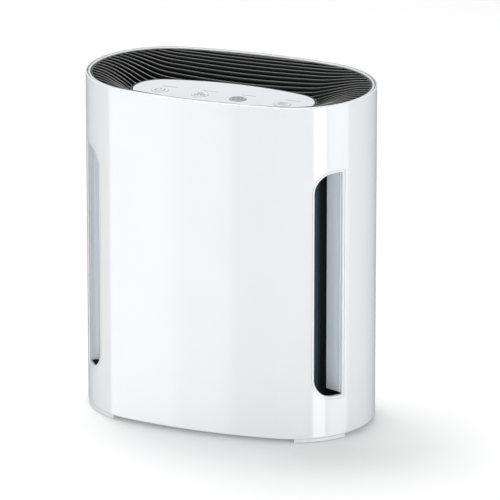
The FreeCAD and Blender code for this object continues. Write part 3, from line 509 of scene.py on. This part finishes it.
def inset(oval, amount):
    half_w, half_d, end_r, y_mid = oval
    return half_w - amount, half_d - amount, end_r - amount, y_mid


def between(oval_a, oval_b, t):
    return tuple(a + (b - a) * t for a, b in zip(oval_a, oval_b))


def long_side(oval):
    """The X of the end arc's centre, the radius of the long side, and the half angle it spans."""
    half_w, half_d, end_r, _ = oval
    end_x = half_w - end_r
    radius = (end_x ** 2 + half_d ** 2 - end_r ** 2) / (2.0 * (half_d - end_r))
    return end_x, radius, math.asin(end_x / (radius - end_r))


def oval_points(oval, z, end_steps=40, side_steps=40):
    """Points anticlockwise from the rear end of the right-hand arc, in metres."""
    half_w, half_d, end_r, y_mid = oval
    end_x, radius, spread = long_side(oval)
    quarter = math.pi / 2
    points = []
    for sign, centre_x in ((1, end_x), (-1, -end_x)):
        for i in range(end_steps):
            a = (spread - quarter) + (math.pi - 2 * spread) * i / end_steps
            points.append((centre_x + sign * end_r * math.cos(a), y_mid + sign * end_r * math.sin(a)))
        for i in range(side_steps):
            a = spread - 2 * spread * i / side_steps
            rise = radius * math.cos(a) - (radius - half_d)
            points.append((sign * radius * math.sin(a), y_mid + sign * rise))
    return [Vector((x * MM, y * MM, z * MM)) for x, y in points]


def crossing(oval, x, side):
    """The Y at which the oval's rear (side 1) or front (side -1) edge passes X, in mm."""
    half_w, half_d, end_r, y_mid = oval
    end_x, radius, spread = long_side(oval)
    if abs(x) >= half_w:
        return None
    if abs(x) > radius * math.sin(spread):
        return y_mid + side * math.sqrt(end_r ** 2 - (abs(x) - end_x) ** 2)
    return y_mid + side * (math.sqrt(radius ** 2 - x ** 2) - (radius - half_d))


print("the body outline is", round(2 * crossing(BODY, 0, 1), 1), "mm deep at its middle")

# %% [markdown]
# A skin joins outlines that lie above or inside one another, like the rings of a basket. A bmesh is a mesh
# under construction: corners and faces are added to it one by one, and it becomes an object's mesh at last.


# %% Skins, blocks and finished meshes
def skin(mesh, rings, closed):
    """Adds a skin over a stack of rings. A closed skin also joins the last ring to the first."""
    verts = [[mesh.verts.new(point) for point in ring] for ring in rings]
    pairs = list(zip(verts, verts[1:])) + ([(verts[-1], verts[0])] if closed else [])
    for low, high in pairs:
        for i in range(len(low)):
            j = (i + 1) % len(low)
            mesh.faces.new((low[i], low[j], high[j], high[i]))


def block(mesh, low, high):
    """Adds a plain box, given by two corners in mm."""
    made = bmesh.ops.create_cube(mesh, size=1.0)
    for vert in made["verts"]:
        for axis in range(3):
            vert.co[axis] = (low[axis] if vert.co[axis] < 0 else high[axis]) * MM


def to_mesh(name, mesh):
    bmesh.ops.recalc_face_normals(mesh, faces=mesh.faces)
    data = bpy.data.meshes.new(name)
    mesh.to_mesh(data)
    mesh.free()
    return data


print("one outline has", len(oval_points(BODY, 0)), "points")

# %% [markdown]
# ## The outlet grille
#
# On the real object the grille is one moulding of thin fins. Its top sinks like a dish from the rim to
# the panel. Behind the panel the fins run straight; at the round ends they fan out towards the back.
# Each fin is grown as a line above the dish. A ray is then shot down from every point of the line, as one
# lets a thread fall on a hill, and the line follows the dish by itself. Points that miss the dish are
# outside the rim or over the panel, so they are dropped. A tall profile with a round top turns each line
# into a fin.

# %% The dish that the fins rest against
RIM_Z = 314.0
COLLAR_Z = 302.7
GRILLE_FOOT = 293.5
DISH_STEPS = 28
DISH_POWER = 1.8
DISH_LIP = 1.4
DISH_RIM = inset(BODY, 5.3)
DISH_FOOT = inset(PANEL, -2.0)


def dish_object():
    mesh = bmesh.new()
    rings = []
    for i in range(DISH_STEPS + 1):
        t = i / DISH_STEPS
        z = RIM_Z - (RIM_Z - COLLAR_Z) * t ** DISH_POWER
        rings.append(oval_points(between(DISH_RIM, DISH_FOOT, t), z))
    rings.append(oval_points(inset(DISH_FOOT, DISH_LIP), COLLAR_Z))
    skin(mesh, rings, closed=False)
    thing = bpy.data.objects.new("dish", to_mesh("dish", mesh))
    bpy.context.scene.collection.objects.link(thing)
    return thing


print("the dish sinks by", round(RIM_Z - COLLAR_Z, 1), "mm")

# %% [markdown]
# Thin fins need something to hold on to. A band runs round them inside the rim, a collar stands round the
# panel with a ledge that carries it, and four low ribs cross from band to collar where the eye can't see
# them. Bands are given by how far inside an outline their two faces lie.

# %% The frame that holds the fins
RIM_BAND = (4.5, 6.5)
RIM_BEVEL = 0.4
COLLAR = (-2.0, 0.0)
COLLAR_BEVEL = 0.5
LEDGE = (-0.5, 4.5)
LEDGE_FOOT = GRILLE_FOOT + 0.05
LEDGE_TOP = 296.0
RIB_X = (-105.0, -35.0, 35.0, 105.0)
RIB_HALF_WIDTH = 1.0
RIB_FOOT = GRILLE_FOOT + 0.1
RIB_TOP = GRILLE_FOOT + 3.5
RIB_ENDS = (inset(BODY, 5.5), inset(PANEL, -1.0))


def wall_profile(outer, inner, top, bevel):
    """The section of a wall whose top edges are broken, from its outer foot to its inner foot."""
    return [(outer, GRILLE_FOOT), (outer, top - bevel), (outer + bevel, top), (inner - bevel, top),
            (inner, top - bevel), (inner, GRILLE_FOOT)]


def wall(mesh, oval, profile):
    skin(mesh, [oval_points(inset(oval, amount), z) for amount, z in profile], closed=True)


def cross_rib(mesh, x):
    """A rib from band to band, with a gap where the panel is."""
    outer, inner = RIB_ENDS
    front, rear = crossing(outer, x, -1), crossing(outer, x, 1)
    gap = crossing(inner, x, -1), crossing(inner, x, 1)
    spans = [(front, rear)] if None in gap else [(front, gap[0]), (gap[1], rear)]
    for y0, y1 in spans:
        block(mesh, (x - RIB_HALF_WIDTH, y0, RIB_FOOT), (x + RIB_HALF_WIDTH, y1, RIB_TOP))


def grille_frame():
    mesh = bmesh.new()
    wall(mesh, BODY, wall_profile(*RIM_BAND, RIM_Z, RIM_BEVEL))
    wall(mesh, PANEL, wall_profile(*COLLAR, COLLAR_Z, COLLAR_BEVEL))
    outer, inner = LEDGE
    wall(mesh, PANEL, [(outer, LEDGE_FOOT), (outer, LEDGE_TOP), (inner, LEDGE_TOP), (inner, LEDGE_FOOT)])
    for x in RIB_X:
        cross_rib(mesh, x)
    data = to_mesh("top_grille", mesh)
    print("the frame of the grille has", len(data.polygons), "faces")
    return data


print("the frame has", len(RIB_X), "cross ribs")

# %% [markdown]
# Now the fins themselves. Each starts as a straight row of points high above the dish. Far from the middle
# the rows change from one spacing to another, which bends them. Then every point falls on the dish.

# %% The rule of the fins
DROP_FROM = 0.4
CORNER_SHARE = 0.45
FIN_SIZES = {
    "Dish": dish_object(),
    "First Fin": -13,
    "Fins": 21,
    "Points": 135,
    "Reach": 134 * MM,
    "Middle Y": 21.5 * MM,
    "Middle Pitch": 7.15 * MM,
    "End Y": 32.0 * MM,
    "End Pitch": 6.6 * MM,
    "Bend From": 70 * MM,
    "Bend To": 130 * MM,
    "Thickness": 1.8 * MM,
    "Depth": 22 * MM,
    "Foot": GRILLE_FOOT * MM,
    "Finish": satin_black,
}


def fin_lines(tree, sizes):
    """Rows of points above the dish, one for each fin, all numbered through."""
    starts = add(tree, "GeometryNodeMeshLine", Count=sizes["Fins"], Offset=(0, 0, 0))
    left = point(tree, X=maths(tree, "MULTIPLY", sizes["Reach"], -1.0))
    line = row(tree, sizes["Points"], left, point(tree, X=sizes["Reach"]))
    copies = copies_on(tree, starts.outputs[0], line)
    lines = add(tree, "GeometryNodeRealizeInstances", Geometry=copies)
    index = add(tree, "GeometryNodeInputIndex").outputs[0]
    fin = maths(tree, "FLOOR", maths(tree, "DIVIDE", index, sizes["Points"]))
    number = maths(tree, "ADD", fin, sizes["First Fin"])
    middle = maths(tree, "MULTIPLY_ADD", number, sizes["Middle Pitch"], sizes["Middle Y"])
    end = maths(tree, "MULTIPLY_ADD", number, sizes["End Pitch"], sizes["End Y"])
    x = parts_of_position(tree)[0]
    bend = add(tree, "ShaderNodeMapRange", {"interpolation_type": "SMOOTHSTEP"},
               Value=maths(tree, "ABSOLUTE", x), From_Min=sizes["Bend From"], From_Max=sizes["Bend To"])
    y = add(tree, "ShaderNodeMix", i0=bend.outputs[0], i2=middle, i3=end).outputs[0]
    return add(tree, "GeometryNodeSetPosition", Geometry=lines.outputs[0],
               Position=point(tree, X=x, Y=y, Z=DROP_FROM)).outputs[0]


def fall_on(tree, lines, target):
    """Drops every point straight down on the target. A point that misses it is deleted."""
    dish = add(tree, "GeometryNodeObjectInfo", {"transform_space": "RELATIVE"}, Object=target)
    ray = add(tree, "GeometryNodeRaycast", Target_Geometry=dish.outputs["Geometry"],
              Ray_Direction=(0, 0, -1), Ray_Length=1.0)
    missed = add(tree, "FunctionNodeBooleanMath", {"operation": "NOT"}, i0=ray.outputs["Is Hit"])
    kept = add(tree, "GeometryNodeDeleteGeometry", Geometry=lines, Selection=missed.outputs[0])
    return add(tree, "GeometryNodeSetPosition", Geometry=kept.outputs[0],
               Position=ray.outputs["Hit Position"]).outputs[0]


def fin_rule():
    tree, sizes = new_rule("fan of fins", FIN_SIZES)
    fallen = fall_on(tree, fin_lines(tree, sizes), sizes["Dish"])
    curve = add(tree, "GeometryNodeMeshToCurve", Mesh=fallen)
    # a tall, round-topped profile along every line, cut off level at the foot
    plate = rectangle(tree, sizes["Thickness"], sizes["Depth"])
    rounded = round_corners(tree, plate, maths(tree, "MULTIPLY", sizes["Thickness"], CORNER_SHARE))
    drop = point(tree, Y=maths(tree, "MULTIPLY", sizes["Depth"], 0.5))
    profile = add(tree, "GeometryNodeTransform", Geometry=rounded, Translation=drop)
    swept = sweep(tree, curve.outputs[0], profile.outputs[0])
    x, y, z = parts_of_position(tree)
    level = point(tree, X=x, Y=y, Z=maths(tree, "MAXIMUM", z, sizes["Foot"]))
    fins = add(tree, "GeometryNodeSetPosition", Geometry=swept, Position=level)
    close_rule(tree, join(tree, fins.outputs[0], sizes["Geometry"]), sizes["Finish"])
    return tree


grille = grow("top_grille_fins", grille_frame(), fin_rule(), FIN_SIZES)
stand_for(grille, "top_grille")
bpy.data.objects.remove(FIN_SIZES.pop("Dish"))

# %% [markdown]
# ## The pleated filter
#
# The fine filter is one long sheet of glass fleece folded to and fro, so that about half a square metre
# fits in the cassette. Beads of glue across the folds keep them apart. A zigzag line is rounded at its
# corners and given a tall, thin profile, as paper would be folded by a pleating machine.

# %% The rule of the pleats
BEAD_SIDES = 10
BEAD_SPREAD = 0.42
BEAD_SEAT = 0.49
PLEAT_SIZES = {
    "Folds": 71,
    "Width": 176.0 * MM,
    "Depth": 32.6 * MM,
    "Height": 209.6 * MM,
    "Paper": 0.5 * MM,
    "Fold Radius": 0.9 * MM,
    "Beads": 6,
    "Bead Radius": 0.9 * MM,
    "Centre Y": 26.0 * MM,
    "Centre Z": 148.0 * MM,
    "Finish": paper_fleece,
}


def folded_sheet(tree, sizes):
    """A row of points moved to the front and back in turn, rounded, and swept with a thin, tall profile."""
    half = maths(tree, "MULTIPLY", sizes["Width"], 0.5)
    start = point(tree, X=maths(tree, "MULTIPLY", half, -1.0))
    line = row(tree, sizes["Folds"], start, point(tree, X=half))
    index = add(tree, "GeometryNodeInputIndex").outputs[0]
    side = maths(tree, "SUBTRACT", maths(tree, "MODULO", index, 2.0), 0.5)
    shift = point(tree, Y=maths(tree, "MULTIPLY", side, sizes["Depth"]))
    zigzag = add(tree, "GeometryNodeSetPosition", Geometry=line, Offset=shift)
    curve = add(tree, "GeometryNodeMeshToCurve", Mesh=zigzag.outputs[0])
    folded = round_corners(tree, curve.outputs[0], sizes["Fold Radius"])
    return sweep(tree, folded, rectangle(tree, sizes["Paper"], sizes["Height"]))


def glue_beads(tree, sizes):
    """Beads of glue that lie across the rear folds, one above the other."""
    rod = add(tree, "GeometryNodeMeshCylinder", Vertices=BEAD_SIDES, Radius=sizes["Bead Radius"],
              Depth=sizes["Width"])
    lift = maths(tree, "MULTIPLY", sizes["Height"], BEAD_SPREAD)
    rear = maths(tree, "MULTIPLY", sizes["Depth"], BEAD_SEAT)
    low = point(tree, Y=rear, Z=maths(tree, "MULTIPLY", lift, -1.0))
    spots = row(tree, sizes["Beads"], low, point(tree, Y=rear, Z=lift))
    return copies_on(tree, spots, rod.outputs[0], (0, math.pi / 2, 0))


def pleat_rule():
    tree, sizes = new_rule("pleats", PLEAT_SIZES)
    whole = join(tree, folded_sheet(tree, sizes), glue_beads(tree, sizes))
    place = point(tree, Y=sizes["Centre Y"], Z=sizes["Centre Z"])
    moved = add(tree, "GeometryNodeTransform", Geometry=whole, Translation=place)
    close_rule(tree, moved.outputs[0], sizes["Finish"])
    return tree


pleats = grow("hepa_pleat_sheet", bpy.data.meshes.new("hepa_pleat_sheet"), pleat_rule(), PLEAT_SIZES)
stand_for(pleats, "hepa_pleats")

# %% [markdown]
# ## The pre-filter net
#
# On the rear face of the cassette, where the dusty air arrives, lies a washable net. Two sets of threads
# cross at right angles inside a flat frame. Each set is one thread, copied along a line.

# %% The rule of the net
THREAD_SIDES = 8
NET_SIZES = {
    "Width": 178.0 * MM,
    "Height": 211.0 * MM,
    "Columns": 45,
    "Rows": 53,
    "Thread": 0.35 * MM,
    "Frame Width": 5.0 * MM,
    "Frame Depth": 1.4 * MM,
    "Centre Y": 45.75 * MM,
    "Centre Z": 148.0 * MM,
    "Finish": net_plastic,
}


def threads(tree, count, across, along, radius, upright):
    """Copies of one thread: spread over the length across, each as long as along."""
    rod = add(tree, "GeometryNodeMeshCylinder", Vertices=THREAD_SIDES, Radius=radius, Depth=along)
    axis = "X" if upright else "Y"
    half = maths(tree, "MULTIPLY", across, 0.5)
    low = point(tree, **{axis: maths(tree, "MULTIPLY", half, -1.0)})
    spots = row(tree, count, low, point(tree, **{axis: half}))
    turn = (math.pi / 2, 0, 0) if upright else (0, math.pi / 2, 0)
    return copies_on(tree, spots, rod.outputs[0], turn)


def net_rule():
    """The net is grown lying flat and then stood up."""
    tree, sizes = new_rule("net", NET_SIZES)
    warp = threads(tree, sizes["Columns"], sizes["Width"], sizes["Height"], sizes["Thread"], True)
    weft = threads(tree, sizes["Rows"], sizes["Height"], sizes["Width"], sizes["Thread"], False)
    edge_w = maths(tree, "SUBTRACT", sizes["Width"], sizes["Frame Width"])
    edge_h = maths(tree, "SUBTRACT", sizes["Height"], sizes["Frame Width"])
    section = rectangle(tree, sizes["Frame Width"], sizes["Frame Depth"])
    border = add(tree, "GeometryNodeCurveToMesh", Curve=rectangle(tree, edge_w, edge_h),
                 Profile_Curve=section)
    place = point(tree, Y=sizes["Centre Y"], Z=sizes["Centre Z"])
    stood = add(tree, "GeometryNodeTransform", Geometry=join(tree, warp, weft, border.outputs[0]),
                Translation=place, Rotation=(math.pi / 2, 0, 0))
    close_rule(tree, stood.outputs[0], sizes["Finish"])
    return tree


net = grow("pre_filter_net", bpy.data.meshes.new("pre_filter_net"), net_rule(), NET_SIZES)
stand_for(net, "pre_filter")

# %% [markdown]
# ## Printed symbols on the keys
#
# Each key carries a plain symbol in grey ink, put on by pad printing: a soft pad lifts the ink from an
# etched plate and presses it on the key. Ink has a real thickness, so each stroke here is a very thin
# ribbon that lies on the key and moves with it. The symbols are general ones: power, fan, timer, filter.

# %% Strokes of ink
INK_WIDTH = 0.75
INK_RISE = 0.05
INK_SINK = 0.02
KEY_TOP = 303.6


def ribbon(mesh, path, width, z, closed):
    """Adds a thin solid stroke along a flat path, all in mm."""
    count = len(path)
    sections = []
    for i, (x, y) in enumerate(path):
        before = path[(i - 1) % count if closed else max(i - 1, 0)]
        after = path[(i + 1) % count if closed else min(i + 1, count - 1)]
        length = math.hypot(after[0] - before[0], after[1] - before[1])
        side_x = -(after[1] - before[1]) / length * width / 2
        side_y = (after[0] - before[0]) / length * width / 2
        corners = [(x + side_x, y + side_y, z - INK_SINK), (x + side_x, y + side_y, z + INK_RISE),
                   (x - side_x, y - side_y, z + INK_RISE), (x - side_x, y - side_y, z - INK_SINK)]
        sections.append([mesh.verts.new(Vector(corner) * MM) for corner in corners])
    pairs = list(zip(sections, sections[1:])) + ([(sections[-1], sections[0])] if closed else [])
    for a, b in pairs:
        for i in range(4):
            j = (i + 1) % 4
            mesh.faces.new((a[i], a[j], b[j], b[i]))
    if not closed:
        mesh.faces.new(sections[0])
        mesh.faces.new(sections[-1])


print("one stroke is", INK_WIDTH, "mm wide")

# %% [markdown]
# A symbol is a list of strokes, each a path about the key's own centre. Arcs, petals and waves are short
# formulas, so no path has to be typed in point by point.

# %% The four symbols
PETAL_POINTS = 28
HUB_RADIUS = 0.9
PETAL_LENGTH = 4.1
PETAL_WIDTH = 0.62
PETAL_LEAN = 0.05
WAVE_HEIGHT = 0.55
WAVE_TURN = 0.42


def arc(radius, start, end, steps=40):
    """Points of a circular arc about (0, 0), between two angles in degrees."""
    angles = [math.radians(start + (end - start) * i / steps) for i in range(steps + 1)]
    return [(radius * math.cos(a), radius * math.sin(a)) for a in angles]


def petal(turn):
    """One fan blade: a loop that leaves the hub and comes back to it."""
    points = []
    for i in range(PETAL_POINTS):
        t = i / PETAL_POINTS
        reach = HUB_RADIUS + PETAL_LENGTH * math.sin(math.pi * t)
        angle = math.radians(turn) + PETAL_WIDTH * math.sin(2 * math.pi * t) + PETAL_LEAN * reach
        points.append((reach * math.cos(angle), reach * math.sin(angle)))
    return points


def wave(y):
    """A wavy line 9 mm long, with four points to a millimetre."""
    return [(x / 4, y + WAVE_HEIGHT * math.sin(x * WAVE_TURN)) for x in range(-18, 19)]


SYMBOLS = {
    "power_key": [(arc(4.4, 125, 415), False), ([(0, 0.8), (0, 3.0), (0, 5.4)], False)],
    "fan_speed_key": [(petal(turn), True) for turn in (90, 210, 330)],
    "timer_key": [(arc(4.6, 0, 351), True), ([(2.0, -0.9), (0, 0), (0, 3.2)], False)],
    "filter_reset_key": [(wave(y), False) for y in (-3.0, 0.0, 3.0)],
}


def print_symbol(node, strokes):
    low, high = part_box(node)
    centre_x = (low[0] + high[0]) / 2 / MM
    centre_y = (low[1] + high[1]) / 2 / MM
    mesh = bmesh.new()
    for path, closed in strokes:
        ribbon(mesh, [(centre_x + x, centre_y + y) for x, y in path], INK_WIDTH, KEY_TOP, closed)
    symbol = bpy.data.objects.new("symbol_" + node, to_mesh("symbol_" + node, mesh))
    symbol.data.materials.append(key_ink)
    bpy.context.scene.collection.objects.link(symbol)
    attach(symbol, nodes[node]["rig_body"])
    print("printed", symbol.name)


for node, strokes in SYMBOLS.items():
    print_symbol(node, strokes)

# %% [markdown]
# ## Floor and light
#
# White plastic shows its form only by what it mirrors. Seen from above, an upright wall mirrors what lies
# below the horizon, so in a studio the body stands on a table and the soft boxes reach down past its
# edge. Here the floor plays the table: mirror rays pass through it to the boxes behind, while light and
# shadow fall on it as usual. The left box gives the broad band on the front, the right one the bright
# strip at the corner, and a small high lamp behind the left shoulder casts the soft shadow to the right.

# %% Floor
FLOOR_REACH = 6.0
FLOOR_GLOW = 0.05


def make_floor():
    mesh = bpy.data.meshes.new("floor")
    corners = [(-1, -1), (1, -1), (1, 1), (-1, 1)]
    mesh.from_pydata([(x * FLOOR_REACH, y * FLOOR_REACH, 0) for x, y in corners], [], [(0, 1, 2, 3)])
    floor = bpy.data.objects.new("floor", mesh)
    bpy.context.scene.collection.objects.link(floor)
    material, tree, shader = new_material("pale_studio_floor")
    set_inputs(shader, Base_Color=linear("#FAFAFA"), Roughness=0.9, Specular_IOR_Level=0.1,
               Emission_Color=linear("#FFFFFF"), Emission_Strength=FLOOR_GLOW)
    mesh.materials.append(material)
    floor.visible_glossy = False


make_floor()
print("the floor reaches", FLOOR_REACH, "m each way")

# %% [markdown]
# Each lamp is a flat rectangle that faces the body from a heading and a tilt, as on a stand. The tall ones
# set what the walls mirror, so their heading and width decide where a bright band starts and ends.

# %% Lights
LIGHT_DISTANCE = 2.4
AIM = Vector((0, 0, 160 * MM))
ROOM_GLOW = 0.39
# heading (from the front, towards the right) and tilt in degrees, width and height in metres, watts
SOFT_BOXES = {
    "left_soft_box": (-48.0, 0.0, 1.79, 2.8, 24.0),
    "left_fill_box": (-20.0, 0.0, 0.63, 2.8, 4.9),
    "right_soft_box": (58.5, 0.0, 0.75, 2.8, 17.5),
    "right_fill_box": (86.0, 0.0, 1.3, 2.8, 13.8),
    "low_front_box": (20.0, 20.0, 0.8, 0.5, 6.8),
    "rear_soft_box": (200.0, 50.0, 2.2, 1.6, 13.5),
    "high_left_lamp": (-110.0, 71.0, 0.8, 0.8, 16.5),
    "high_rear_lamp": (-160.0, 76.0, 0.8, 0.8, 9.3),
}


def soft_box(name, heading, tilt, width, height, power):
    """An area light that faces the body."""
    data = bpy.data.lights.new(name, "AREA")
    data.shape = "RECTANGLE"
    data.size = width
    data.size_y = height
    data.energy = power
    lamp = bpy.data.objects.new(name, data)
    a, e = math.radians(heading), math.radians(tilt)
    offset = Vector((math.sin(a) * math.cos(e), -math.cos(a) * math.cos(e), math.sin(e)))
    lamp.location = AIM + offset * LIGHT_DISTANCE
    lamp.rotation_euler = (-offset).to_track_quat("-Z", "Y").to_euler()
    lamp.visible_camera = False
    bpy.context.scene.collection.objects.link(lamp)


def room_light():
    world = bpy.data.worlds.new("room")
    world.use_nodes = True
    bpy.context.scene.world = world
    set_inputs(world.node_tree.nodes["Background"], Color=linear("#FFFFFF"), Strength=ROOM_GLOW)


room_light()
for name, settings in SOFT_BOXES.items():
    soft_box(name, *settings)
bpy.context.scene.view_settings.view_transform = "Standard"
print("soft boxes:", len(SOFT_BOXES))
